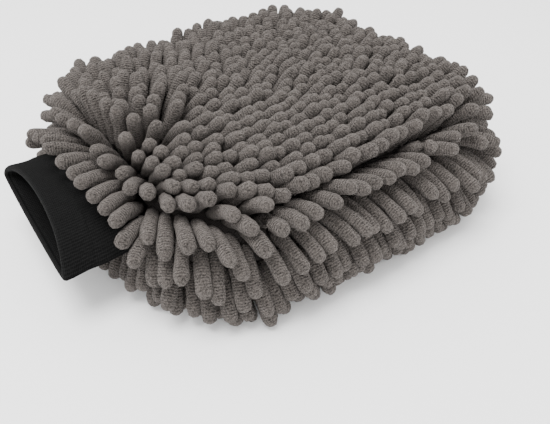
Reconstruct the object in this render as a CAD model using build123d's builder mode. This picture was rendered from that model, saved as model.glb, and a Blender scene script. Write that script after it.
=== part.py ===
from build123d import *
import math
import os

# Chenille wash mitt, lying flat. Millimetres. +X runs from the cuff's mouth to the closed finger
# end, +Y across the hand, +Z up. The origin is under the middle of the mitt, on the surface it
# rests on.

# Driving dimensions
TOTAL_LENGTH = 266.0  # mouth of the cuff to the tips of the pile at the finger end
PILE = 20.0  # how far the pile stands off the base knit
BAG_LENGTH = 206.0  # base knit bag, neck seam to finger end
BAG_WIDTH = 184.0
BAG_HEIGHT = 32.0
BAG_CORNER = 50.0  # plan radius of the bag's four corners
CLOTH = 1.2  # base knit
LINING = 1.0
CUFF_MOUTH = (104.0, 28.0)  # outside of the oval mouth, across and high
CUFF_NECK = (100.0, 30.0)  # outside of the oval where the cuff meets the bag
RIB = 1.4  # one layer of the cuff's rib knit
ELASTIC_WIDTH = 12.0
ELASTIC = 0.8
KNUCKLE_X = 12.0  # line across the mitt where it bends with the knuckles
KNUCKLE_RISE = 9.0  # height of that hinge line above the middle plane
KNUCKLE_BEND = 30.0  # degrees the finger half can rise
CUFF_BEND_UP = 40.0  # degrees
CUFF_BEND_DOWN = 12.0

# Derived places
GAP = 0.3  # clearance between pieces that move against each other
TOUCH = 0.1  # clearance between layers of one body
MID_Z = PILE + BAG_HEIGHT / 2
TIP_X = TOTAL_LENGTH / 2
MOUTH_X = -TOTAL_LENGTH / 2
BAG_END_X = TIP_X - PILE
NECK_X = BAG_END_X - BAG_LENGTH
BAG_MID_X = (BAG_END_X + NECK_X) / 2
CUFF_AXIS_X = NECK_X - 2.0
KNUCKLE_Z = MID_Z + KNUCKLE_RISE
SIDE_BAND = 13.0  # half height of the pile that belongs to the sides
SHOULDER_X = NECK_X + 42.0  # side pile nearer the neck than this is the shoulders'
FINGER_END_X = BAG_END_X - 42.0  # and nearer the tip than this is the finger end's
ALLOWANCE = 4.2  # depth that the bag's seam takes up inside
ALLOWANCE_LENGTH = 16.0  # how far the cuff's cloth reaches into the bag
CUFF_ROOM_Y = CUFF_MOUTH[0] / 2 + 1.0  # half the width kept free for the cuff to bend in
OVERLOCK = 0.9  # thickness and width of the overlock thread at the neck
OVERLOCK_WIDTH = 1.4
STITCHES = 72  # round the hem
STITCH_LENGTH = 2.3
STITCH_THREAD = 0.5
FAR = 400.0  # past everything


def plan(outset, z):
    """The bag's outline seen from above, outset all round, as a face at height z."""
    length, width = (size + 2 * outset for size in (BAG_LENGTH, BAG_WIDTH))
    with BuildSketch(Plane.XY.offset(z)) as outline:
        with Locations((BAG_MID_X, 0)):
            RectangleRounded(length, width, BAG_CORNER + outset)
    return outline.sketch


def slab(outset, half_height, edge):
    """A pillow over the outset plan, with rounded edges (call it inside a part block)."""
    body = extrude(plan(outset, MID_Z - half_height), amount=2 * half_height)
    rims = body.edges().group_by(Axis.Z)
    fillet(rims[0] + rims[-1], edge)


def pillow(outset):
    """A pillow that keeps the same distance from the bag's outer face all round."""
    half_height = BAG_HEIGHT / 2 + outset
    slab(outset, half_height, half_height - 0.5)


def hollow(maker, *sizes):
    """Take a pillow out of the part block's solid."""
    with BuildPart(mode=Mode.PRIVATE) as core:
        maker(*sizes)
    add(core.part, mode=Mode.SUBTRACT)


def keep_box(x, y, z):
    """Keep only what lies between the given limits."""
    size = (x[1] - x[0], y[1] - y[0], z[1] - z[0])
    middle = ((x[0] + x[1]) / 2, (y[0] + y[1]) / 2, (z[0] + z[1]) / 2)
    with Locations(middle):
        Box(*size, mode=Mode.INTERSECT)


def keep_half(side):
    """Cut at the knuckle line: side -1 keeps the palm half, +1 the finger half. Above the hinge
    line each half leans back by half of the bend, so that the halves meet when it is bent."""
    lean = math.tan(math.radians(KNUCKLE_BEND / 2 + 0.3))
    edge_x = KNUCKLE_X + side * GAP
    top_x = edge_x + side * (FAR - KNUCKLE_Z) * lean
    with BuildSketch(Plane.XZ.offset(-FAR)) as beyond:
        Polygon(
            (edge_x, -FAR),
            (edge_x, KNUCKLE_Z),
            (top_x, FAR),
            (-side * FAR, FAR),
            (-side * FAR, -FAR),
            align=None,
        )
    extrude(beyond.sketch, amount=2 * FAR, mode=Mode.SUBTRACT)


def oval(x, across, high):
    """A vertical oval face at one place along the mitt."""
    with BuildSketch(Plane.YZ.offset(x)) as face:
        with Locations((0, MID_Z)):
            Ellipse(across / 2, high / 2)
    return face.sketch


def oval_tube(from_x, to_x, start, end, inward, thickness):
    """A tube along X between two ovals, inward of their outline by a distance."""
    for depth, mode in ((inward, Mode.ADD), (inward + thickness, Mode.SUBTRACT)):
        ends = [
            oval(from_x, start[0] - 2 * depth, start[1] - 2 * depth),
            oval(to_x, end[0] - 2 * depth, end[1] - 2 * depth),
        ]
        loft(ends, mode=mode)


def cuff_size(x):
    """Width and height of the cuff's outside at x: it widens slightly from the neck outwards."""
    share = (CUFF_AXIS_X - x) / (CUFF_AXIS_X - MOUTH_X)
    return tuple(n + share * (m - n) for n, m in zip(CUFF_NECK, CUFF_MOUTH))


def clear_neck(margin):
    """Open the bag's end for the neck seam."""
    across, high = (size + 2 * margin for size in CUFF_NECK)
    way = oval(NECK_X - PILE - ALLOWANCE, across, high)
    extrude(way, amount=PILE + 2 * ALLOWANCE + ALLOWANCE_LENGTH, mode=Mode.SUBTRACT)


def write(piece, name):
    piece.label = name
    export_step(piece, f"parts/{name}.step")


def make_cloth(name, side, face, outer, inner):
    """One quarter of a cloth bag: one face of it, one side of the knuckle line."""
    with BuildPart() as cloth:
        slab(*outer)
        hollow(slab, *inner)
        clear_neck(TOUCH + RIB)
        low, high = ((MID_Z, FAR) if face == "top" else (-FAR, MID_Z))
        keep_box((-FAR, FAR), (-FAR, FAR), (low, high))
        keep_half(side)
    write(cloth.part, name)


def clear_cuff():
    """Leave room for the cuff, and for its bending up and down at the neck."""
    clear_neck(OVERLOCK + 2 * TOUCH)
    with Locations((CUFF_AXIS_X - PILE, 0, MID_Z)):
        Box(2 * PILE, 2 * CUFF_ROOM_Y, FAR, mode=Mode.SUBTRACT)


def make_pile(name, side, x, y, z):
    """The space that one region of the pile fills, between the base knit and the tips."""
    with BuildPart() as pile:
        pillow(PILE)
        hollow(pillow, TOUCH)
        clear_cuff()
        keep_box(x, y, z)
        keep_half(side)
    write(pile.part, name)


def make_bag_seam(name, side):
    """The two panels' edges, sewn together and turned in, round the bag's rim."""
    with BuildPart() as seam:
        extrude(plan(-CLOTH - TOUCH, MID_Z - CLOTH), amount=2 * CLOTH)
        extrude(plan(-ALLOWANCE, MID_Z - CLOTH), amount=2 * CLOTH, mode=Mode.SUBTRACT)
        clear_neck(TOUCH + RIB)
        keep_half(side)
    write(seam.part, name)


def make_neck_allowance():
    """The cuff's cloth where it runs on into the bag and is sewn in."""
    with BuildPart() as allowance:
        oval_tube(
            CUFF_AXIS_X + GAP, NECK_X + ALLOWANCE_LENGTH, CUFF_NECK, CUFF_NECK, 0, RIB
        )
    write(allowance.part, "neck_seam_allowance")


def make_neck_overlock():
    """Overlock thread lying round the neck seam, outside the cuff's cloth."""
    start = CUFF_AXIS_X + GAP
    with BuildPart() as thread:
        rim = tuple(size + 2 * (TOUCH + OVERLOCK) for size in CUFF_NECK)
        oval_tube(start, start + OVERLOCK_WIDTH, rim, rim, 0, OVERLOCK)
    write(thread.part, "neck_overlock")


def lean_neck_end():
    """Lean the cuff's inner end back from the seam, above and below its bending line."""
    up = math.tan(math.radians(CUFF_BEND_UP + 0.5)) * FAR
    down = math.tan(math.radians(CUFF_BEND_DOWN + 0.5)) * FAR
    edge_x = CUFF_AXIS_X - GAP
    with BuildSketch(Plane.XZ.offset(-FAR)) as beyond:
        Polygon(
            (edge_x, MID_Z),
            (edge_x - up, MID_Z + FAR),
            (FAR, MID_Z + FAR),
            (FAR, MID_Z - FAR),
            (edge_x - down, MID_Z - FAR),
            align=None,
        )
    extrude(beyond.sketch, amount=2 * FAR, mode=Mode.SUBTRACT)


def make_cuff_outer():
    """Outer layer of rib knit, with the turned edge that closes the mouth end."""
    turned_depth = 2 * RIB + ELASTIC + 2 * TOUCH
    with BuildPart() as outer:
        oval_tube(MOUTH_X, CUFF_AXIS_X, CUFF_MOUTH, CUFF_NECK, 0, RIB)
        near = cuff_size(MOUTH_X + RIB)
        oval_tube(MOUTH_X, MOUTH_X + RIB, CUFF_MOUTH, near, 0, turned_depth)
        lean_neck_end()
        mouth = outer.edges().filter_by(GeomType.ELLIPSE).group_by(Axis.X)[0]
        fillet(mouth, RIB * 0.4)
    write(outer.part, "cuff_outer")


def make_cuff_inner():
    """Inner layer of the same knit, from the turned edge back to the neck."""
    start = MOUTH_X + RIB + TOUCH
    with BuildPart() as inner:
        depth = RIB + ELASTIC + 2 * TOUCH
        oval_tube(start, CUFF_AXIS_X, cuff_size(start), CUFF_NECK, depth, RIB)
        lean_neck_end()
    write(inner.part, "cuff_inner")


def make_wrist_elastic():
    """Flat elastic in the tunnel between the cuff's two layers, next to the mouth."""
    start = MOUTH_X + RIB + TOUCH
    end = start + ELASTIC_WIDTH
    with BuildPart() as band:
        oval_tube(start, end, cuff_size(start), cuff_size(end), RIB + TOUCH, ELASTIC)
    write(band.part, "wrist_elastic")


def make_hem_stitches():
    """The row of stitches that closes the elastic's tunnel, lying on the outer layer."""
    x = MOUTH_X + RIB + ELASTIC_WIDTH + 2.0
    across, high = (size + STITCH_THREAD + 4 * TOUCH for size in cuff_size(x))
    rim = oval(x, across, high).edges()[0]
    with BuildPart() as stitches:
        with Locations(*rim.locations([step / STITCHES for step in range(STITCHES)])):
            Box(STITCH_THREAD, STITCH_THREAD, STITCH_LENGTH)
    write(stitches.part, "hem_stitches")


def main():
    os.makedirs("parts", exist_ok=True)
    whole = (-FAR, FAR)
    band = (MID_Z - SIDE_BAND, MID_Z + SIDE_BAND)
    base = BAG_HEIGHT / 2
    knit = ((0.0, base, base - 0.5), (-CLOTH, base - CLOTH, base - CLOTH - 0.5))
    lining_half = base - CLOTH - TOUCH
    lining = (
        (-ALLOWANCE - TOUCH, lining_half, 11.0),
        (-ALLOWANCE - TOUCH - LINING, lining_half - LINING, 10.0),
    )
    for half, side in (("palm", -1), ("finger", 1)):
        for face in ("top", "bottom"):
            make_cloth(f"base_knit_{face}_{half}_half", side, face, *knit)
            make_cloth(f"lining_{face}_{half}_half", side, face, *lining)
        make_pile(f"pile_top_{half}_half", side, whole, whole, (band[1], FAR))
        make_pile(f"pile_bottom_{half}_half", side, whole, whole, (-FAR, band[0]))
        make_bag_seam(f"bag_seam_{half}_half", side)
        for hand, y in (("left", (0, FAR)), ("right", (-FAR, 0))):
            make_pile(f"pile_{hand}_{half}_half", side, (SHOULDER_X, FINGER_END_X), y, band)
    make_pile("pile_finger_end", 1, (FINGER_END_X, FAR), whole, band)
    shoulders = (-FAR, SHOULDER_X)
    make_pile("pile_left_shoulder", -1, shoulders, (CUFF_ROOM_Y, FAR), band)
    make_pile("pile_right_shoulder", -1, shoulders, (-FAR, -CUFF_ROOM_Y), band)
    make_neck_allowance()
    make_neck_overlock()
    make_cuff_outer()
    make_cuff_inner()
    make_wrist_elastic()
    make_hem_stitches()


main()
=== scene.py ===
# %% [markdown]
# # A chenille wash mitt
# The mitt is a flat cloth bag, covered all over with soft chenille noodles, with a knitted cuff at
# one end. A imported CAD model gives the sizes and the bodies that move. This script gives it its
# looks: some thirteen hundred noodles that settle under gravity, a ribbed cuff, and their materials.

# %% Load the frame
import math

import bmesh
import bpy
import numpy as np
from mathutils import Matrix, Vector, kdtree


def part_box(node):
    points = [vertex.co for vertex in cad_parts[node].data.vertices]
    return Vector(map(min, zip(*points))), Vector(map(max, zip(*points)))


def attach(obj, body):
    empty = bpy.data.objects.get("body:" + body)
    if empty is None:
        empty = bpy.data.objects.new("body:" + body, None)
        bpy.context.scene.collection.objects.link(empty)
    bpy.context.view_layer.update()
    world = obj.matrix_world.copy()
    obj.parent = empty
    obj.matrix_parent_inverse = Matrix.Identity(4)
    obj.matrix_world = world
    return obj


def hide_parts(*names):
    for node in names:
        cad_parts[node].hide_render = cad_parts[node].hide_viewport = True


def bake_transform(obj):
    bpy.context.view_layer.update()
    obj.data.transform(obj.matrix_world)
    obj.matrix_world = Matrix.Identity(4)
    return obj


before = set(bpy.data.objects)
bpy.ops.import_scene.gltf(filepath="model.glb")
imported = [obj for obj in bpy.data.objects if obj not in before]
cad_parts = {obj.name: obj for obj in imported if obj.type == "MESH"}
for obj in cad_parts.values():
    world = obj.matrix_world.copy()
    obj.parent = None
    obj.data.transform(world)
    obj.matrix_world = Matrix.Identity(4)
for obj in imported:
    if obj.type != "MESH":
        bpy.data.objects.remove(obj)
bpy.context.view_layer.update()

# %% [markdown]
# ## Tools used below
# Every value is in metres. A few small helpers are enough: one that turns a colour written as an
# sRGB hex value into the linear numbers that a shader wants, one that adds a shader node with its
# settings and links, and one that turns a bmesh into an object.

MM = 0.001
rng = np.random.default_rng(11)
scene = bpy.context.scene


def smooth_step(value):
    """0 below 0, 1 above 1, and a smooth rise between."""
    value = np.clip(value, 0, 1)
    return value * value * (3 - 2 * value)


def hex_color(text):
    """Linear RGBA of an sRGB hex colour such as '8a817c'."""
    parts = [int(text[i : i + 2], 16) / 255 for i in (0, 2, 4)]
    linear = [c / 12.92 if c <= 0.04045 else ((c + 0.055) / 1.055) ** 2.4 for c in parts]
    return (*linear, 1.0)


def add_node(tree, kind, settings=None, values=(), **inputs):
    """Add a node. settings are its own fields. Its sockets get values by order and inputs by name;
    each is a number, a vector or a socket to link."""
    node = tree.nodes.new(kind)
    for name, value in (settings or {}).items():
        setattr(node, name, value)
    named = {name.replace("_", " "): value for name, value in inputs.items()}
    for key, value in [*enumerate(values), *named.items()]:
        socket = node.inputs[key]
        if isinstance(value, bpy.types.NodeSocket):
            tree.links.new(value, socket)
        else:
            socket.default_value = value
    return node


MULTIPLY = {"operation": "MULTIPLY"}
MULTIPLY_ADD = {"operation": "MULTIPLY_ADD"}
SINE = {"operation": "SINE"}
ADD = {"operation": "ADD"}


def make_object(name, bm, *materials, smooth=True):
    """Turn a bmesh into an object at the origin, with its materials."""
    mesh = bpy.data.meshes.new(name)
    bm.to_mesh(mesh)
    bm.free()
    for face in mesh.polygons:
        face.use_smooth = smooth
    for material in materials:
        mesh.materials.append(material)
    piece = bpy.data.objects.new(name, mesh)
    scene.collection.objects.link(piece)
    return piece


# %% [markdown]
# ## Sizes taken from the frame
# The bag is the base knit that carries the noodles, so its box is that of the base knit nodes. The
# cuff's ovals come from the cuff's own node and the neck seam's.

# %% Read the sizes
def joined_box(*names):
    """Lowest and highest corner of several CAD nodes together."""
    boxes = [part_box(name) for name in names]
    low = np.min([np.array(b[0]) for b in boxes], axis=0)
    high = np.max([np.array(b[1]) for b in boxes], axis=0)
    return low, high


KNIT_NODES = [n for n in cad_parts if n.startswith("base_knit")]
LINING_NODES = [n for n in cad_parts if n.startswith("lining")]
BAG_SEAM_NODES = [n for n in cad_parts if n.startswith("bag_seam")]
bag_low, bag_high = joined_box(*KNIT_NODES)
cuff_low, cuff_high = joined_box("cuff_outer")
MID_Z = float(bag_low[2] + bag_high[2]) / 2
BAG_HALF_HEIGHT = float(bag_high[2] - bag_low[2]) / 2
BAG_EDGE = BAG_HALF_HEIGHT - 0.5 * MM
BAG_CORNER = 50 * MM
BAG_MIDDLE = (bag_low[:2] + bag_high[:2]) / 2
BAG_HALF = (bag_high[:2] - bag_low[:2]) / 2
# The base knit's end at the neck is cut open, so the bag's own end is the neck seam's place.
NECK_X = BAG_MIDDLE[0] - BAG_HALF[0]
CUFF_HALF_WIDTH = float(cuff_high[1] - cuff_low[1]) / 2
CUFF_HALF_HEIGHT = float(cuff_high[2] - cuff_low[2]) / 2
MOUTH_X = float(cuff_low[0])
neck_low, neck_high = joined_box("neck_seam_allowance")
NECK_HALF_WIDTH = float(neck_high[1] - neck_low[1]) / 2
NECK_HALF_HEIGHT = float(neck_high[2] - neck_low[2]) / 2
print("bag", bag_low, bag_high, "neck x", NECK_X, "cuff", cuff_low, cuff_high)

# %% [markdown]
# ## The camera and the light
# A normal lens from a third of a metre away, looking down at thirty-seven degrees over the corner
# beside the cuff. The light is a studio's: one broad soft box overhead, a weaker one in
# front, and a white world.

# %% Camera
AZIMUTH, ELEVATION, DISTANCE = math.radians(-36), math.radians(37), 0.338
forward = Vector(
    (
        -math.sin(AZIMUTH) * math.cos(ELEVATION),
        math.cos(AZIMUTH) * math.cos(ELEVATION),
        -math.sin(ELEVATION),
    )
)
camera_data = bpy.data.cameras.new("camera")
camera_data.lens = 43
camera_data.sensor_width = 36
camera_data.clip_start = 0.02
camera = bpy.data.objects.new("camera", camera_data)
scene.collection.objects.link(camera)
AIM = Vector((-0.0315, -0.069, 0.036))
camera.location = AIM - forward * DISTANCE
camera.rotation_euler = forward.to_track_quat("-Z", "Y").to_euler()
scene.camera = camera
print("camera at", tuple(round(c, 3) for c in camera.location))

# %% Floor, world and lights
FLOOR_HALF_WIDTH = 6
WORLD_STRENGTH = 1.8
floor_mesh = bmesh.new()
bmesh.ops.create_grid(floor_mesh, x_segments=1, y_segments=1, size=FLOOR_HALF_WIDTH)
floor = make_object("floor", floor_mesh, smooth=False)
paper = bpy.data.materials.new("white_backdrop_paper")
paper.use_nodes = True
paper_shader = paper.node_tree.nodes["Principled BSDF"]
paper_shader.inputs["Base Color"].default_value = hex_color("ffffff")
paper_shader.inputs["Roughness"].default_value = 0.9
floor.data.materials.append(paper)

world = bpy.data.worlds.new("studio")
scene.world = world
world.use_nodes = True
background = world.node_tree.nodes["Background"]
background.inputs["Color"].default_value = hex_color("ffffff")
background.inputs["Strength"].default_value = WORLD_STRENGTH


def soft_box(name, place, target, size, power):
    """A square area light that looks at a target."""
    data = bpy.data.lights.new(name, "AREA")
    data.shape = "SQUARE"
    data.size = size
    data.energy = power
    light = bpy.data.objects.new(name, data)
    scene.collection.objects.link(light)
    light.location = place
    light.rotation_euler = (Vector(target) - Vector(place)).to_track_quat("-Z", "Y").to_euler()


soft_box("overhead", (-0.35, -0.1, 1.3), (0, 0, 0), 0.7, 26)
soft_box("front_fill", (-0.5, -1.3, 0.5), (0, 0, 0.03), 0.8, 5)
print("lights", [light.name for light in bpy.data.lights], "world strength", WORLD_STRENGTH)

# %% [markdown]
# ## The bag's surface
# The noodles grow on the bag and rest on it, so the script needs to know how far any point is from
# it. A signed distance does that: it is negative inside the bag and its slope is the direction
# that points straight out. The bag is a rounded rectangle seen from above, with rounded edges.

# %% Distance to the bag and to the cuff
def plan_distance(points):
    """Distance in plan from the bag's outline, negative inside."""
    q = np.abs(points[:, :2] - BAG_MIDDLE) - (BAG_HALF - BAG_CORNER)
    outside = np.linalg.norm(np.maximum(q, 0), axis=1)
    return outside + np.minimum(q.max(axis=1), 0) - BAG_CORNER


def bag_distance(points):
    """Signed distance to the bag's surface."""
    side = plan_distance(points) + BAG_EDGE
    rise = np.abs(points[:, 2] - MID_Z) - (BAG_HALF_HEIGHT - BAG_EDGE)
    outside = np.hypot(np.maximum(side, 0), np.maximum(rise, 0))
    return outside + np.minimum(np.maximum(side, rise), 0) - BAG_EDGE


def cuff_distance(points):
    """Distance from the cuff's oval tube, near enough for resting on it."""
    y = points[:, 1] / CUFF_HALF_WIDTH
    z = (points[:, 2] - MID_Z) / CUFF_HALF_HEIGHT
    ratio = np.hypot(y, z) + 1e-6
    scale = np.hypot(points[:, 1], points[:, 2] - MID_Z) / ratio
    return np.maximum((ratio - 1) * scale, points[:, 0] - NECK_X)


def mitt_distance(points):
    """Signed distance to the bag and the cuff together."""
    return np.minimum(bag_distance(points), cuff_distance(points))


def outward(distance, points):
    """Unit direction in which a distance grows."""
    step = 0.2 * MM
    slope = np.stack(
        [
            distance(points + step * axis) - distance(points - step * axis)
            for axis in np.eye(3)
        ],
        axis=1,
    )
    return slope / (np.linalg.norm(slope, axis=1, keepdims=True) + 1e-12)


bag_middle = np.array([[*BAG_MIDDLE, MID_Z]])
print("the bag's middle lies", -bag_distance(bag_middle)[0] / MM, "mm under its surface")

# %% [markdown]
# ## Where the noodles are sewn
# Chenille cloth is made flat, with its noodles in staggered rows, and then cut and sewn into a
# bag. So the roots are laid out on a flat panel and wrapped round the bag's rounded rim, once for
# the upper panel and once, turned over, for the lower one.

# %% Lay out the roots
ROW_PITCH = 7.6 * MM
TUFT_PITCH = 8.4 * MM


def wrap_panel(flat, face):
    """Wrap flat panel points over the rim. face is 1 for the upper panel, -1 for the lower."""
    inside = plan_distance(flat) + BAG_EDGE
    arc = np.clip(inside, 0, None) / BAG_EDGE
    step = 0.1 * MM
    slope = np.stack(
        [
            plan_distance(flat + step * axis) - plan_distance(flat - step * axis)
            for axis in np.eye(3)[:2]
        ],
        axis=1,
    )
    slope /= np.linalg.norm(slope, axis=1, keepdims=True) + 1e-12
    rim = flat[:, :2] - slope * np.clip(inside, 0, None)[:, None]
    points = np.zeros((len(flat), 3))
    points[:, :2] = rim + slope * (BAG_EDGE * np.sin(arc))[:, None]
    points[:, 2] = MID_Z + face * (BAG_HALF_HEIGHT - BAG_EDGE + BAG_EDGE * np.cos(arc))
    return points[arc < math.pi / 2 - 0.08]


def panel_roots(face):
    """Staggered rows of roots on one panel, each a little off its place."""
    reach = BAG_HALF + 12 * MM
    rows = int(reach[1] / ROW_PITCH)
    flat = []
    for row in range(-rows, rows + 1):
        count = int(reach[0] / TUFT_PITCH) + 1
        for tuft in range(-count, count + 1):
            shift = 0.5 * (row % 2) + 0.25 * (face < 0)
            flat.append(
                (
                    BAG_MIDDLE[0] + (tuft + shift) * TUFT_PITCH,
                    BAG_MIDDLE[1] + row * ROW_PITCH,
                    0.0,
                )
            )
    flat = np.array(flat)
    flat[:, :2] += rng.normal(0, 0.3 * MM, (len(flat), 2))
    return wrap_panel(flat, face)


def neck_roots(x, shift):
    """Roots evenly spaced round the neck's oval, or on the bag where that stands further out."""
    turns = np.linspace(0, 2 * math.pi, 721)
    oval = np.stack([NECK_HALF_WIDTH * np.cos(turns), NECK_HALF_HEIGHT * np.sin(turns)], axis=1)
    along = np.concatenate([[0], np.cumsum(np.linalg.norm(np.diff(oval, axis=0), axis=1))])
    count = int(along[-1] / TUFT_PITCH)
    marks = (np.arange(count) + shift) * along[-1] / count
    y, z = (np.interp(marks, along, oval[:, axis]) for axis in (0, 1))
    points = np.stack([np.full(count, x), y, z], axis=1)
    side = np.clip(plan_distance(points) + BAG_EDGE, 0, BAG_EDGE)
    bag_rise = BAG_HALF_HEIGHT - BAG_EDGE + np.sqrt(BAG_EDGE**2 - side**2)
    points[:, 2] = MID_Z + np.sign(z) * np.maximum(np.abs(z), bag_rise)
    return points


# The cloth is gathered into the neck, so the last rounds follow the cuff's own oval.
NECK_ROUND = 6.2 * MM
panels = np.concatenate([panel_roots(1), panel_roots(-1)])
y_share = np.abs(panels[:, 1]) / NECK_HALF_WIDTH
z_share = (panels[:, 2] - MID_Z) / NECK_HALF_HEIGHT
gathered = (panels[:, 0] < NECK_X + 3.5 * NECK_ROUND) & (y_share < 0.8)
in_cuff = (panels[:, 0] < NECK_X + 8 * MM) & (np.hypot(y_share, z_share) < 1.1)
panels = panels[~gathered & ~in_cuff]
first_round = neck_roots(NECK_X + 0.2 * NECK_ROUND, 0)
more_rounds = np.concatenate(
    [neck_roots(NECK_X + (k + 0.2) * NECK_ROUND, 0.5 * (k % 2)) for k in (1, 2, 3)]
)
more_rounds = more_rounds[np.abs(more_rounds[:, 1]) < 0.8 * NECK_HALF_WIDTH]
roots = np.concatenate([panels, first_round, more_rounds])
NOODLES = len(roots)
IS_NECK = np.arange(NOODLES) >= len(panels)
print(NOODLES, "noodles, of them round the neck", int(IS_NECK.sum()))

# %% [markdown]
# ## Let the noodles settle
# Each noodle is a short chain of soft beads: the first is sewn to the cloth, the others hang on.
# In every small step gravity moves the beads, and then each rule is put right again: the beads of a
# chain stay the same distance apart, the yarn bends only so much, no bead enters another noodle,
# the bag, the cuff or the floor. After enough steps the pile lies as a real one does.

# %% The settling
RADIUS = 3.9 * MM
BEADS = 4
LENGTHS = rng.normal(28.0 * MM, 1.5 * MM, NOODLES)
RADII = rng.normal(RADIUS, 0.12 * MM, NOODLES)
SEGMENT = (LENGTHS - RADII) / (BEADS - 1)
# Yarn gives a little where noodles press on each other, and is stiffest where it is sewn on.
FIRMNESS = 0.97
STIFFNESS = (0.0, 0.32, 0.14, 0.08)
FALL = 0.15 * MM
# Close pairs are looked for once in several steps, so beads a little out of reach count too.
STEPS_PER_SEARCH = 8
MARGIN = 3.5 * MM
# The parting: noodles lean away from the middle of the neck, where the cloth is gathered.
PARTING = np.array([NECK_X + 20 * MM, 12 * MM, MID_Z + BAG_HALF_HEIGHT])


def grow_directions():
    """The way each noodle stands: straight out of the cloth, leaning away from the parting."""
    normal = outward(bag_distance, roots)
    oval = np.zeros((NOODLES, 3))
    oval[:, 1] = roots[:, 1] / NECK_HALF_WIDTH**2
    oval[:, 2] = (roots[:, 2] - MID_Z) / NECK_HALF_HEIGHT**2
    oval /= np.linalg.norm(oval, axis=1, keepdims=True)
    normal[IS_NECK] = oval[IS_NECK]
    away = roots - PARTING
    away[:, 2] = 0
    reach = np.linalg.norm(away, axis=1, keepdims=True)
    away = away / (reach + 1e-9)
    far = smooth_step((reach - 60 * MM) / (80 * MM))
    # Near the neck the gathered cloth turns them all to point away from the parting.
    level = np.hypot(normal[:, 0], normal[:, 1])[:, None]
    turned = normal * (1, 1, 0) + 1.6 * (1 - far) * (1 - IS_NECK[:, None]) * level * away
    turned /= np.linalg.norm(turned, axis=1, keepdims=True) + 1e-9
    normal[:, :2] = (turned * level)[:, :2]
    flat_on = np.abs(normal[:, 2:])
    lean = smooth_step((reach - 4 * MM) / (28 * MM)) * (0.8 - 0.45 * far) * (0.1 + 0.9 * flat_on)
    # Far from the neck they lean outwards over the rim instead.
    rim = outward(plan_distance, roots)
    near_rim = np.clip(1 + plan_distance(roots) / (60 * MM), 0, 1)[:, None] ** 1.5 * 0.4 * far
    # The rounds nearest the cuff fall forward over it.
    forward_lean = np.clip((NECK_X + 10 * MM - roots[:, 0]) / (9 * MM), 0, 1.0)
    uneven = rng.normal(0, 1, roots.shape) * (0.06 + 0.12 * (1 - flat_on))
    grow = normal + lean * away + near_rim * rim + uneven
    grow[:, 0] -= forward_lean * np.where(IS_NECK, 1.0, 0.35)
    # On the rim they hang.
    hang = smooth_step((roots[:, 2] - MID_Z + 16 * MM) / (18 * MM))
    grow[:, 2] -= 1.2 * (1 - flat_on[:, 0] ** 1.5) * hang
    return grow / np.linalg.norm(grow, axis=1, keepdims=True)


def close_pairs(beads, owner, reach):
    """Pairs of beads of different noodles that are within reach of each other."""
    tree = kdtree.KDTree(len(beads))
    for index, bead in enumerate(beads):
        tree.insert(bead, index)
    tree.balance()
    pairs = [
        (index, other)
        for index, bead in enumerate(beads)
        for _, other, _ in tree.find_range(bead, reach)
        if other > index and owner[other] != owner[index]
    ]
    return np.array(pairs).reshape(-1, 2)


def push_apart(beads, pairs, gap):
    """Move overlapping beads half of their overlap apart."""
    a, b = pairs[:, 0], pairs[:, 1]
    between = beads[b] - beads[a]
    distance = np.linalg.norm(between, axis=1) + 1e-9
    overlap = np.clip(gap[a] + gap[b] - distance, 0, None)
    touching = overlap > 0
    move = between[touching] * (0.5 * overlap[touching] / distance[touching])[:, None]
    total = np.zeros_like(beads)
    count = np.zeros(len(beads))
    np.add.at(total, a[touching], -move)
    np.add.at(total, b[touching], move)
    np.add.at(count, a[touching], 1)
    np.add.at(count, b[touching], 1)
    beads += total / np.maximum(count, 1)[:, None] * np.minimum(count, 1.6)[:, None]


def keep_out(beads, distance, gap):
    """Push beads that are inside a surface back out of it."""
    depth = gap - distance(beads)
    deep = depth > 0
    if deep.any():
        beads[deep] += outward(distance, beads[deep]) * depth[deep][:, None]


def settle(steps):
    """Bead places of every noodle after so many small steps."""
    grow = grow_directions()
    chain = roots[:, None, :] + grow[:, None, :] * (
        SEGMENT[:, None, None] * np.arange(BEADS)[None, :, None]
    )
    owner = np.repeat(np.arange(NOODLES), BEADS - 1)
    gap = np.repeat(RADII, BEADS - 1) * FIRMNESS
    pull = np.array([0, 0, -FALL])
    for step in range(steps):
        if step % STEPS_PER_SEARCH == 0:
            pairs = close_pairs(chain[:, 1:].reshape(-1, 3), owner, 2 * RADIUS + MARGIN)
        chain[:, 1:] += pull
        for bead in range(1, BEADS):
            if bead == 1:
                way = grow
            else:
                way = chain[:, bead - 1] - chain[:, bead - 2]
                way = way / np.linalg.norm(way, axis=1, keepdims=True)
            straight = chain[:, bead - 1] + way * SEGMENT[:, None]
            chain[:, bead] += STIFFNESS[bead] * (straight - chain[:, bead])
        beads = chain[:, 1:].reshape(-1, 3).copy()
        push_apart(beads, pairs, gap)
        keep_out(beads, mitt_distance, gap)
        beads[:, 2] = np.maximum(beads[:, 2], gap)
        chain[:, 1:] = beads.reshape(NOODLES, BEADS - 1, 3)
        for bead in range(1, BEADS):
            link = chain[:, bead] - chain[:, bead - 1]
            link /= np.linalg.norm(link, axis=1, keepdims=True)
            chain[:, bead] = chain[:, bead - 1] + link * SEGMENT[:, None]
    return chain


chains = settle(160)
print("settled, lowest bead", chains[..., 2].min(), "highest", chains[..., 2].max())

# %% [markdown]
# ## One noodle, repeated
# A noodle is a fat chenille yarn with a domed end. One is modelled as a straight template: a ring
# of eight points, drawn out ring by ring and closed with a dome. Every noodle is a copy of it, and
# its rings are then moved onto that noodle's own bent centre line.

# %% The template noodle
SIDES = 8
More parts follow.
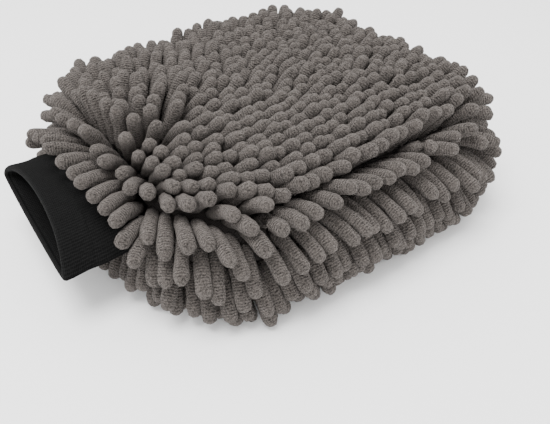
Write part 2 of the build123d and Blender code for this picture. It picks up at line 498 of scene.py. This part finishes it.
# (place along the noodle, radius) of each ring, as shares of its length and of its radius
SHAFT = [(0.0, 0.72), (0.16, 0.95), (0.37, 1.0), (0.6, 1.0), (0.8, 1.02)]
DOME = [(0.88, 0.96), (0.945, 0.78), (0.985, 0.44)]


def noodle_template():
    """A straight noodle of unit length and unit radius along +Z, with a pole at its tip."""
    bm = bmesh.new()
    uv = bm.loops.layers.uv.new("UVMap")
    ring = bmesh.ops.create_circle(bm, segments=SIDES, radius=SHAFT[0][1])["verts"]
    root_edges = list({e for v in ring for e in v.link_edges})
    edges = root_edges
    for place, radius in SHAFT[1:] + DOME:
        grown = bmesh.ops.extrude_edge_only(bm, edges=edges)["geom"]
        verts = [g for g in grown if isinstance(g, bmesh.types.BMVert)]
        edges = [g for g in grown if isinstance(g, bmesh.types.BMEdge)]
        for vert in verts:
            flat = Vector((vert.co.x, vert.co.y)).normalized() * radius
            vert.co = (flat.x, flat.y, place)
    cap = bmesh.ops.contextual_create(bm, geom=edges)["faces"]
    pole = bmesh.ops.poke(bm, faces=cap)["verts"][0]
    pole.co = (0, 0, 1)
    bmesh.ops.contextual_create(bm, geom=root_edges)
    bmesh.ops.recalc_face_normals(bm, faces=bm.faces)
    for face in bm.faces:
        turns = [math.atan2(l.vert.co.y, l.vert.co.x) / (2 * math.pi) for l in face.loops]
        turns = [turn + (turn < max(turns) - 0.5) for turn in turns]
        for loop, turn in zip(face.loops, turns):
            loop[uv].uv = (turn, loop.vert.co.z)
    mesh = bpy.data.meshes.new("noodle_template")
    bm.to_mesh(mesh)
    bm.free()
    return mesh


template = noodle_template()
template_points = np.array([v.co for v in template.vertices])
print("template", len(template.vertices), "points", len(template.polygons), "faces")

# %% [markdown]
# The centre line is a smooth curve through the beads. A ring's own directions are the curve's
# direction there and one fixed sideways direction, made square to it.

# %% Bend the copies onto the chains
def centre_lines(chain, share):
    """Points and directions at a share of the way along each chain, on a smooth curve."""
    last = BEADS - 1
    place = min(share * last, last - 1e-6)
    k = int(place)
    t = place - k
    padded = np.concatenate(
        [2 * chain[:, :1] - chain[:, 1:2], chain, 2 * chain[:, -1:] - chain[:, -2:-1]],
        axis=1,
    )
    p0, p1, p2, p3 = (padded[:, k + i] for i in range(4))
    point = 0.5 * (
        2 * p1
        + (p2 - p0) * t
        + (2 * p0 - 5 * p1 + 4 * p2 - p3) * t**2
        + (3 * p1 - p0 - 3 * p2 + p3) * t**3
    )
    slope = 0.5 * (
        (p2 - p0)
        + 2 * (2 * p0 - 5 * p1 + 4 * p2 - p3) * t
        + 3 * (3 * p1 - p0 - 3 * p2 + p3) * t**2
    )
    return point, slope / (np.linalg.norm(slope, axis=1, keepdims=True) + 1e-12)


def bend_copies(chosen):
    """Vertex places of every chosen noodle, one template after another."""
    chain = chains[chosen]
    radii = RADII[chosen]
    lengths = LENGTHS[chosen]
    sideways = rng.normal(0, 1, (len(chain), 3))
    places = np.zeros((len(chain), len(template_points), 3))
    levels = np.unique(template_points[:, 2].round(5))
    lumps = 1 + rng.normal(0, 0.035, (len(chain), len(levels)))
    shaft_share = 1 - radii / lengths
    for level_index, level in enumerate(levels):
        along = level / shaft_share
        over = np.clip(along - 1, 0, None) * shaft_share * lengths
        point, way = centre_lines(chain, min(level / shaft_share.mean(), 1.0))
        point = point + way * over[:, None]
        u = sideways - (sideways * way).sum(1, keepdims=True) * way
        u /= np.linalg.norm(u, axis=1, keepdims=True)
        v = np.cross(way, u)
        for index in np.nonzero(np.abs(template_points[:, 2] - level) < 1e-4)[0]:
            x, y, _ = template_points[index]
            size = (radii * lumps[:, level_index])[:, None]
            places[:, index] = point + size * (x * u + y * v)
    # Pile is never cut quite even, so every point but the roots' is a little off.
    places += rng.normal(0, 0.09 * MM, places.shape) * (template_points[:, 2:] > 0.01)
    # Those underneath are pressed flat by the floor.
    places[..., 2] = np.maximum(places[..., 2], 0.2 * MM)
    return places.reshape(-1, 3)


def make_noodles(name, chosen, material):
    """One object that holds the chosen noodles, with a tone value for each of them."""
    bm = bmesh.new()
    for _ in chosen:
        bm.from_mesh(template)
    piece = make_object(name, bm, material)
    piece.data.vertices.foreach_set("co", bend_copies(chosen).ravel())
    tone = piece.data.attributes.new("tone", "FLOAT", "POINT")
    tones = np.repeat(rng.random(len(chosen)), len(template_points))
    tone.data.foreach_set("value", tones.astype(np.float32))
    piece.data.update()
    return piece


# %% [markdown]
# ## Chenille
# Chenille yarn is cut microfibre held between twisted core threads, so its surface is a short
# velvet of fibre ends, in faint rings where the core twists. It is matt, catches light at grazing
# angles, and its fibre ends give it a fine grain of light and dark.

# %% The chenille material
# Noise scales are waves to a metre: a clump of fibre ends is 0.8 mm, a lump in the yarn 1.9 mm.
CLUMPS = 1200.0
YARN_LUMPS = 520.0
# The core's twist gives a ring every 1.3 mm.
RINGS = 21


def chenille_material():
    """Grey chenille: rings along the noodle, a grain of fibre ends, and a tone for each noodle."""
    material = bpy.data.materials.new("microfibre_chenille_grey")
    material.use_nodes = True
    tree = material.node_tree
    shader = tree.nodes["Principled BSDF"]
    place = add_node(tree, "ShaderNodeTexCoord")
    uv = add_node(tree, "ShaderNodeUVMap", {"uv_map": "UVMap"})
    tone = add_node(tree, "ShaderNodeAttribute", {"attribute_name": "tone"})
    split = add_node(tree, "ShaderNodeSeparateXYZ", Vector=uv.outputs["UV"])
    grain = add_node(
        tree,
        "ShaderNodeTexNoise",
        Vector=place.outputs["Object"],
        Scale=CLUMPS,
        Detail=2.0,
        Roughness=0.65,
    )
    fibre = add_node(tree, "ShaderNodeMath", MULTIPLY_ADD, (grain.outputs["Fac"], 2.1, -0.55))
    wobble = add_node(
        tree, "ShaderNodeTexNoise", Vector=place.outputs["Object"], Scale=YARN_LUMPS, Detail=2.0
    )
    shift = add_node(tree, "ShaderNodeMath", MULTIPLY, (wobble.outputs["Fac"], 7.0))
    turns = (split.outputs["Y"], 2 * math.pi * RINGS, shift.outputs[0])
    along = add_node(tree, "ShaderNodeMath", MULTIPLY_ADD, turns)
    wave = add_node(tree, "ShaderNodeMath", SINE, (along.outputs[0],))
    # The rings fade out before the dome's pole.
    fade = add_node(
        tree,
        "ShaderNodeMapRange",
        Value=split.outputs["Y"],
        From_Min=0.84,
        From_Max=0.95,
        To_Min=1.0,
        To_Max=0.0,
    )
    ring = add_node(tree, "ShaderNodeMath", MULTIPLY, (wave.outputs[0], fade.outputs["Result"]))
    mixed = add_node(
        tree, "ShaderNodeMath", MULTIPLY_ADD, (ring.outputs[0], 0.20, fibre.outputs[0])
    )
    shade = add_node(
        tree, "ShaderNodeMath", MULTIPLY_ADD, (tone.outputs["Fac"], 0.10, mixed.outputs[0])
    )
    colors = add_node(tree, "ShaderNodeValToRGB", Fac=shade.outputs[0])
    ramp = colors.color_ramp
    ramp.elements[0].position, ramp.elements[0].color = 0.10, hex_color("13110f")
    ramp.elements[1].position, ramp.elements[1].color = 0.95, hex_color("625c58")
    lumps = add_node(
        tree, "ShaderNodeMath", MULTIPLY_ADD, (wobble.outputs["Fac"], 0.5, mixed.outputs[0])
    )
    bump = add_node(
        tree, "ShaderNodeBump", Strength=1.0, Distance=0.0011, Height=lumps.outputs[0]
    )
    tree.links.new(colors.outputs["Color"], shader.inputs["Base Color"])
    tree.links.new(bump.outputs["Normal"], shader.inputs["Normal"])
    shader.inputs["Roughness"].default_value = 0.95
    shader.inputs["Specular IOR Level"].default_value = 0.15
    shader.inputs["Sheen Weight"].default_value = 0.35
    shader.inputs["Sheen Roughness"].default_value = 0.45
    shader.inputs["Sheen Tint"].default_value = hex_color("b8b0ab")
    return material


chenille = chenille_material()
print(chenille.name, "has", len(chenille.node_tree.nodes), "nodes")

# %% [markdown]
# ## The cuff
# The cuff is one tube of black rib knit, folded back on itself at the mouth with an elastic inside
# the fold, and sewn into the bag at the neck. Every layer of it is a tube with the same oval
# section, only set further in, so one function gives the place of any point on any layer: how far
# along, how far round, how deep. Slack cloth never lies quite even, so the mouth has sunk to a low
# arch and the cloth carries a few soft folds.

# %% Places on the cuff
RIBS = 136
AROUND = 4 * RIBS
RIB_RELIEF = 0.2 * MM
ALLOWANCE_END = NECK_X + 15 * MM
turns_table = np.linspace(0, 2 * math.pi, 2881)
arc_steps = np.hypot(
    CUFF_HALF_WIDTH * np.diff(np.cos(turns_table)),
    CUFF_HALF_HEIGHT * np.diff(np.sin(turns_table)),
)
arc_table = np.concatenate([[0], np.cumsum(arc_steps)])
CUFF_ROUND = float(arc_table[-1])
print("the cuff is", CUFF_ROUND / MM, "mm round, with a rib every", CUFF_ROUND / RIBS / MM, "mm")


def cuff_points(x, share, depth):
    """Points of the cuff: x along it, share of the way round, depth in from its outside."""
    turn = np.interp((share % 1.0) * CUFF_ROUND, arc_table, turns_table)
    slack = smooth_step((NECK_X - x) / (34 * MM))
    inside = smooth_step((x - NECK_X + 2 * MM) / (12 * MM))
    half_width = np.interp(x, [MOUTH_X, NECK_X], [CUFF_HALF_WIDTH, NECK_HALF_WIDTH])
    half_height = np.interp(x, [MOUTH_X, NECK_X], [CUFF_HALF_HEIGHT, NECK_HALF_HEIGHT])
    soft_fold = np.sin(x / (2.9 * MM) + 4 * np.cos(turn)) + np.cos(5 * turn + 0.8)
    soft_fold *= 0.5 * MM * slack * (1 - 0.6 * smooth_step((NECK_X - 24 * MM - x) / (10 * MM)))
    # The mouth has sunk flat: its lower edge is nearly straight and its upper edge a low arch.
    sunk = np.where(np.sin(turn) < 0, 8.5, -1.0) * MM * slack
    y = (half_width * (1 - 0.05 * slack) - depth + soft_fold) * np.cos(turn)
    z = (half_height - sunk - depth + soft_fold - 2.2 * MM * inside) * np.sin(turn)
    # The corner on the -Y side has dropped and stretched forward a little.
    corner = slack * (0.5 - 0.5 * y / CUFF_HALF_WIDTH)
    x = x - 5 * MM * corner + 6.5 * MM * slack * np.clip(np.sin(turn), 0, 1) ** 1.5
    z = z - 5 * MM * corner
    return np.stack([x, y, z + MID_Z], axis=1)


# %% [markdown]
# A layer is drawn as a flat grid that is then rolled up: one way round the cuff, the other way
# round the section of the cloth itself, out along its outer skin and back along its inner one.
# The ribs are real relief, four points to a rib, on the skins that are seen.

# %% Roll up a tube of cloth
def skin(start, end, depth, relief, step):
    """Section points (x, depth, relief) along one skin of a layer."""
    count = max(2, round(abs(end - start) / step))
    return [(x, depth, relief) for x in np.linspace(start, end, count)]


def roll_tube(name, section, around, *materials):
    """A closed tube of cloth whose wall has the given closed section."""
    path = np.array(section + section[:1])
    length = np.concatenate([[0], np.cumsum(np.hypot(*np.diff(path[:, :2], axis=0).T))])
    bm = bmesh.new()
    uv = bm.loops.layers.uv.new("UVMap")
    rows = len(path) - 1
    bmesh.ops.create_grid(bm, x_segments=rows, y_segments=around, size=0.5)
    flat = np.array([v.co for v in bm.verts]) + 0.5
    row = (flat[:, 0] * rows).round().astype(int)
    for face in bm.faces:
        for loop in face.loops:
            loop[uv].uv = (length[row[loop.vert.index]], flat[loop.vert.index, 1] * CUFF_ROUND)
    x, depth, relief = path[row].T
    depth = depth - relief * RIB_RELIEF * np.cos(2 * math.pi * RIBS * flat[:, 1])
    for vert, point in zip(bm.verts, cuff_points(x, flat[:, 1], depth)):
        vert.co = point
    bmesh.ops.remove_doubles(bm, verts=bm.verts, dist=1e-6)
    bmesh.ops.recalc_face_normals(bm, faces=bm.faces)
    return make_object(name, bm, *materials)


# %% [markdown]
# ## Knitted cloth
# All the cloth here is knitted: the cuff in fine ribs, the bag and its lining in a flat warp knit.
# Seen close, a knit is columns of small loops, one above another, so its surface is stripes
# crossed by shorter waves, a little fuzzy with loose fibre ends.

# %% Knit and thread materials
# Waves to a metre: the loose fibre ends of a knit stand in tufts of 0.6 mm.
LOOSE_FIBRES = 1600.0


def knit_material(name, dark, light, column, course, source, relief):
    """Knitted cloth. column and course are the real width and height of one loop."""
    material = bpy.data.materials.new(name)
    material.use_nodes = True
    tree = material.node_tree
    shader = tree.nodes["Principled BSDF"]
    place = add_node(tree, "ShaderNodeTexCoord")
    where = place.outputs["Object"]
    if source == "UV":
        where = add_node(tree, "ShaderNodeUVMap", {"uv_map": "UVMap"}).outputs["UV"]
    split = add_node(tree, "ShaderNodeSeparateXYZ", Vector=where)
    fuzz = add_node(
        tree,
        "ShaderNodeTexNoise",
        Vector=place.outputs["Object"],
        Scale=LOOSE_FIBRES,
        Detail=3.0,
        Roughness=0.6,
    )
    waves = []
    for axis, size in (("X", course), ("Y", column)):
        phase = (split.outputs[axis], 2 * math.pi / size, fuzz.outputs["Fac"])
        turn = add_node(tree, "ShaderNodeMath", MULTIPLY_ADD, phase)
        wave = add_node(tree, "ShaderNodeMath", SINE, (turn.outputs[0],))
        waves.append(wave.outputs[0])
    loops = add_node(tree, "ShaderNodeMath", ADD, waves)
    height = add_node(
        tree, "ShaderNodeMath", MULTIPLY_ADD, (loops.outputs[0], 0.12, fuzz.outputs["Fac"])
    )
    colors = add_node(tree, "ShaderNodeValToRGB", Fac=height.outputs[0])
    ramp = colors.color_ramp
    ramp.elements[0].position, ramp.elements[0].color = 0.30, hex_color(dark)
    ramp.elements[1].position, ramp.elements[1].color = 0.75, hex_color(light)
    bump = add_node(
        tree, "ShaderNodeBump", Strength=0.8, Distance=relief, Height=height.outputs[0]
    )
    tree.links.new(colors.outputs["Color"], shader.inputs["Base Color"])
    tree.links.new(bump.outputs["Normal"], shader.inputs["Normal"])
    shader.inputs["Roughness"].default_value = 0.9
    shader.inputs["Specular IOR Level"].default_value = 0.1
    return material


rib_knit = knit_material(
    "black_polyester_rib_knit", "010101", "151515", CUFF_ROUND / RIBS, 0.9 * MM, "UV", 0.35 * MM
)
base_knit = knit_material(
    "dark_grey_warp_knit", "1d1b1a", "383432", 0.9 * MM, 0.7 * MM, "Object", 0.3 * MM
)
lining_knit = knit_material(
    "black_brushed_lining_knit", "121212", "262525", 0.7 * MM, 0.6 * MM, "Object", 0.2 * MM
)
elastic_cloth = knit_material(
    "black_covered_elastic", "0a0a0a", "1a1a1a", 1.4 * MM, 1.1 * MM, "UV", 0.3 * MM
)


def thread_material(name, color):
    """Spun thread: a plain colour with the soft sheen of fibre."""
    material = bpy.data.materials.new(name)
    material.use_nodes = True
    shader = material.node_tree.nodes["Principled BSDF"]
    shader.inputs["Base Color"].default_value = hex_color(color)
    shader.inputs["Roughness"].default_value = 0.8
    shader.inputs["Specular IOR Level"].default_value = 0.1
    return material


black_thread = thread_material("black_spun_thread", "060606")
grey_thread = thread_material("pale_overlock_thread", "8d8884")
print("materials", [material.name for material in bpy.data.materials])

# %% [markdown]
# The outer layer runs from inside the neck seam out to the mouth, turns over in a soft roll, and
# stops just inside it. The inner layer starts there and runs back into the bag. The flat elastic
# lies in the tunnel between them.

# %% The cuff's layers
LIP_X = MOUTH_X + 1.7 * MM
TUNNEL = 1.9 * MM
roll_over = [
    (LIP_X - 1.6 * MM * math.sin(a), TUNNEL - 1.85 * MM * math.cos(a), 0.25)
    for a in np.linspace(0.3, math.pi - 0.3, 6)
]
roll_under = [
    (LIP_X - 0.5 * MM * math.sin(a), TUNNEL + 0.5 * MM * math.cos(a), 0)
    for a in np.linspace(0.3, math.pi - 0.3, 3)
]
outer_section = (
    skin(ALLOWANCE_END, LIP_X, 0.05 * MM, 1, 1.6 * MM)
    + roll_over
    + [(LIP_X + 0.7 * MM, 3.75 * MM, 0), (LIP_X + 0.7 * MM, 2.4 * MM, 0)]
    + roll_under
    + skin(LIP_X, ALLOWANCE_END, 1.35 * MM, 0, 4 * MM)
)
inner_section = skin(ALLOWANCE_END, LIP_X + 0.9 * MM, 2.45 * MM, 0, 4 * MM) + skin(
    LIP_X + 0.9 * MM, ALLOWANCE_END, 3.75 * MM, -1, 1.6 * MM
)
band_section = skin(LIP_X + 13 * MM, LIP_X + 1 * MM, 1.5 * MM, 0, 3 * MM) + skin(
    LIP_X + 1 * MM, LIP_X + 13 * MM, 2.3 * MM, 0, 3 * MM
)
cuff_cloth = roll_tube("rib_knit_cuff", outer_section, AROUND, rib_knit)
cuff_lining = roll_tube("rib_knit_cuff_inside", inner_section, AROUND, rib_knit)
elastic_band = roll_tube("cuff_elastic", band_section, AROUND // 4, elastic_cloth)
print("cuff", len(cuff_cloth.data.polygons), "faces, round", CUFF_ROUND)

# %% [markdown]
# ## Threads
# The elastic's tunnel is closed by one row of black stitches round the cuff, and the raw edges at
# the neck are bound by a grey overlock thread that loops over them. Both are swept tubes that
# follow the cuff's own surface.

# %% Stitches and overlock
def sweep(bm, points, radii, sides):
    """A thread along points. A radius of zero closes its end."""
    rows = len(points) - 1
    grid = bmesh.ops.create_grid(bm, x_segments=rows, y_segments=sides, size=0.5)["verts"]
    ways = np.gradient(points, axis=0)
    ways /= np.linalg.norm(ways, axis=1, keepdims=True)
    u = np.cross(ways, (0.31, 0.17, 0.94))
    u /= np.linalg.norm(u, axis=1, keepdims=True)
    v = np.cross(ways, u)
    for vert in grid:
        k = round((vert.co.x + 0.5) * rows)
        turn = 2 * math.pi * (vert.co.y + 0.5)
        vert.co = points[k] + radii[k] * (math.cos(turn) * u[k] + math.sin(turn) * v[k])


def finish_thread(name, bm, material):
    """Close the tubes' seams and make the object."""
    bmesh.ops.remove_doubles(bm, verts=bm.verts, dist=1e-6)
    bmesh.ops.recalc_face_normals(bm, faces=bm.faces)
    return make_object(name, bm, material)


HEM_STITCHES = 72
bm = bmesh.new()
for stitch in range(HEM_STITCHES):
    share = (stitch + np.linspace(0.12, 0.88, 6)) / HEM_STITCHES
    lie = np.array([0.5, 0.1, -0.1, -0.1, 0.1, 0.5]) * MM
    across = np.full(6, MOUTH_X + 15.4 * MM)
    radii = np.array([0, 0.22, 0.25, 0.25, 0.22, 0]) * MM
    sweep(bm, cuff_points(across, share, lie), radii, 6)
stitches = finish_thread("hem_stitching", bm, black_thread)

LOOPS = 112
STEPS = 9
share = np.linspace(0, 1, LOOPS * STEPS + 1)
loop_turn = 2 * math.pi * LOOPS * share
over_edge = cuff_points(
    NECK_X - 1.2 * MM + 1.1 * MM * np.cos(loop_turn), share, 0.75 * MM * (np.sin(loop_turn) - 1)
)
bm = bmesh.new()
sweep(bm, over_edge, np.full(len(over_edge), 0.22 * MM), 5)
overlock = finish_thread("neck_overlocking", bm, grey_thread)
print(HEM_STITCHES, "hem stitches,", LOOPS, "overlock loops")

# %% [markdown]
# ## The bag, its seam and its lining
# The base knit is two panels sewn together round the rim. The lining is a second, smaller bag
# inside it. Either is made from a divided box whose points are pushed onto the bag's surface, set
# in by its depth; then the neck is cut open and the cloth is given its thickness.

# %% Cloth bags
BOX_CUTS = 31


def cloth_bag(name, inset, thickness, neck_end, material):
    """A bag set in from the mitt's surface, open at the neck."""
    bm = bmesh.new()
    bmesh.ops.create_cube(bm, size=2)
    bmesh.ops.subdivide_edges(bm, edges=bm.edges, cuts=BOX_CUTS, use_grid_fill=True)
    half = np.array([*BAG_HALF, BAG_HALF_HEIGHT])
    points = np.array([v.co for v in bm.verts]) * half + (*BAG_MIDDLE, MID_Z)
    for _ in range(4):
        points -= outward(bag_distance, points) * (bag_distance(points) + inset)[:, None]
    for vert, point in zip(bm.verts, points):
        vert.co = point
    neck = []
    for face in bm.faces:
        middle = face.calc_center_median()
        y = middle.y / (NECK_HALF_WIDTH + 1 * MM)
        z = (middle.z - MID_Z) / (NECK_HALF_HEIGHT + 1 * MM)
        if middle.x < neck_end and math.hypot(y, z) < 1:
            neck.append(face)
    bmesh.ops.delete(bm, geom=neck, context="FACES")
    bmesh.ops.recalc_face_normals(bm, faces=bm.faces)
    bmesh.ops.solidify(bm, geom=bm.faces, thickness=thickness)
    bmesh.ops.recalc_face_normals(bm, faces=bm.faces)
    return make_object(name, bm, material)


bag = cloth_bag("base_knit_bag", 0.0, 1.2 * MM, NECK_X + 11 * MM, base_knit)
pocket = cloth_bag("hand_pocket_lining", 1.6 * MM, 1.0 * MM, NECK_X + 19 * MM, lining_knit)


def rim_strip(name, outer, inner, half_thickness, material):
    """The turned-in seam edges, lying round the inside of the bag's rim."""
    bm = bmesh.new()
    steps = 160
    bmesh.ops.create_grid(bm, x_segments=4, y_segments=steps, size=0.5)
    turns = np.linspace(0, 2 * math.pi, steps + 1)
    ring = np.stack([np.cos(turns), np.sin(turns), 0 * turns], axis=1) * 60 * MM
    ring[:, :2] = ring[:, :2] * BAG_HALF / BAG_HALF.min() + BAG_MIDDLE
    slope = outward(plan_distance, ring)
    for _ in range(8):
        ring -= slope * plan_distance(ring)[:, None]
        slope = outward(plan_distance, ring)
    corners = [(outer, 1), (inner, 1), (inner, -1), (outer, -1), (outer, 1)]
    for vert in bm.verts:
        depth, side = corners[round((vert.co.x + 0.5) * 4)]
        k = round((vert.co.y + 0.5) * steps)
        place = ring[k] - slope[k] * depth
        vert.co = (place[0], place[1], MID_Z + side * half_thickness)
    bmesh.ops.remove_doubles(bm, verts=bm.verts, dist=1e-6)
    in_neck = [
        face
        for face in bm.faces
        if face.calc_center_median().x < NECK_X + 12 * MM
        and abs(face.calc_center_median().y) < NECK_HALF_WIDTH + 3 * MM
    ]
    bmesh.ops.delete(bm, geom=in_neck, context="FACES")
    bmesh.ops.holes_fill(bm, edges=[e for e in bm.edges if e.is_boundary])
    bmesh.ops.recalc_face_normals(bm, faces=bm.faces)
    return make_object(name, bm, material, smooth=False)


rim_seam = rim_strip("rim_seam_edges", 2.9 * MM, 5.2 * MM, 1.1 * MM, base_knit)
for piece in (bag, pocket, rim_seam):
    print(piece.name, len(piece.data.polygons), "faces")

# %% [markdown]
# ## The pile in regions
# The noodles are kept in one object per region, as the CAD model has them. A noodle belongs to the
# region of its root. The two shoulder regions are joined to the palm half's body; the others stay
# where they are.
# region of its root. All of them follow the knuckle bend, and those that hang over the cuff follow
# the cuff instead.

# %% Make the pile
SIDE_BAND = 13 * MM
END_BAND = 42 * MM
z_off = roots[:, 2] - MID_Z
is_side = np.abs(z_off) < SIDE_BAND
over_cuff = IS_NECK & (roots[:, 0] < NECK_X + NECK_ROUND)
shoulder = is_side & ~over_cuff & (roots[:, 0] < NECK_X + END_BAND)
finger_end = is_side & (roots[:, 0] > BAG_MIDDLE[0] + BAG_HALF[0] - END_BAND)
plain_side = is_side & ~over_cuff & ~shoulder & ~finger_end
REGIONS = {
    "noodles_over_cuff": (over_cuff, []),
    "noodles_top": (
        ~is_side & ~over_cuff & (z_off > 0),
        ["pile_top_palm_half", "pile_top_finger_half"],
    ),
    "noodles_bottom": (
        ~is_side & ~over_cuff & (z_off < 0),
        ["pile_bottom_palm_half", "pile_bottom_finger_half"],
    ),
    "noodles_left": (
        plain_side & (roots[:, 1] > 0),
        ["pile_left_palm_half", "pile_left_finger_half"],
    ),
    "noodles_right": (
        plain_side & (roots[:, 1] < 0),
        ["pile_right_palm_half", "pile_right_finger_half"],
    ),
    "noodles_left_shoulder": (shoulder & (roots[:, 1] > 0), ["pile_left_shoulder"]),
    "noodles_right_shoulder": (shoulder & (roots[:, 1] < 0), ["pile_right_shoulder"]),
    "noodles_finger_end": (finger_end, ["pile_finger_end"]),
}
for name, (chosen, nodes) in REGIONS.items():
    piece = make_noodles(name, np.nonzero(chosen)[0], chenille)
    if nodes:
        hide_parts(*nodes)
    if name == "noodles_over_cuff":
        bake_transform(piece)
    elif "shoulder" in name:
        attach(piece, "palm_half")
    else:
        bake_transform(piece)
    print(name, int(chosen.sum()), "noodles", len(piece.data.polygons), "faces")

# %% [markdown]
# ## What moves, and what each piece stands for
# Each piece hides the CAD nodes it stands for. The elastic and the hem stitches are joined to the
# cuff's body; the other pieces stay where they are.

# %% Hide the CAD parts and join the elastic and the stitches to the cuff
cuff_pieces = {
    cuff_cloth: (["cuff_outer", "neck_seam_allowance"], "cuff_rib_knit"),
    cuff_lining: (["cuff_inner"], "cuff_rib_knit"),
    overlock: (["neck_overlock"], "overlock_thread"),
}
for piece, (nodes, slot) in cuff_pieces.items():
    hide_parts(*nodes)
    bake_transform(piece)
for piece, node, slot in (
    (elastic_band, "wrist_elastic", "elastic"),
    (stitches, "hem_stitches", "black_thread"),
):
    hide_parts(node)
    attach(piece, "cuff")
for piece, nodes, slot in (
    (bag, KNIT_NODES, "base_knit"),
    (rim_seam, BAG_SEAM_NODES, "base_knit"),
    (pocket, LINING_NODES, "lining_knit"),
):
    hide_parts(*nodes)
    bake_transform(piece)
